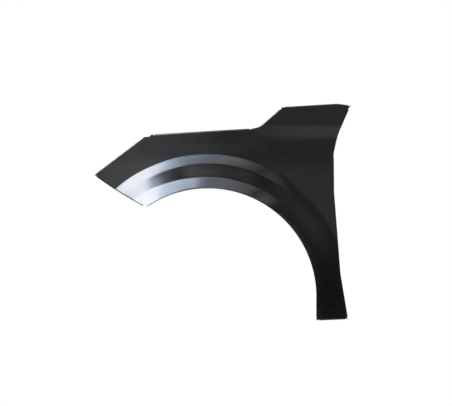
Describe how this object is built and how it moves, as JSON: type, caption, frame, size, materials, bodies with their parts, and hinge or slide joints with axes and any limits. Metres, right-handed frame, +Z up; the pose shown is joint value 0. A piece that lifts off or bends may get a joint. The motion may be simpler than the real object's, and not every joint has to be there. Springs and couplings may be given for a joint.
{
  "type": "car fender",
  "caption": "Pressed steel left front fender panel with a stepped wheel-arch flare, folded edge flanges, a bolted hood ledge, door-edge tabs and clip holes.",
  "frame": {"origin": "Underside of the middle bolt seat of the hood ledge, ahead of its hole", "axes": "+X towards the rear of the car, +Y inboard, +Z up; the painted side faces -Y"},
  "size_m": [0.8544, 0.1561, 0.7192],
  "materials": {
    "e_coat": "satin black electro-dipped primer"
  },
  "bodies": {
    "root": {"fender_panel": "e_coat"}
  },
  "joints": []
}
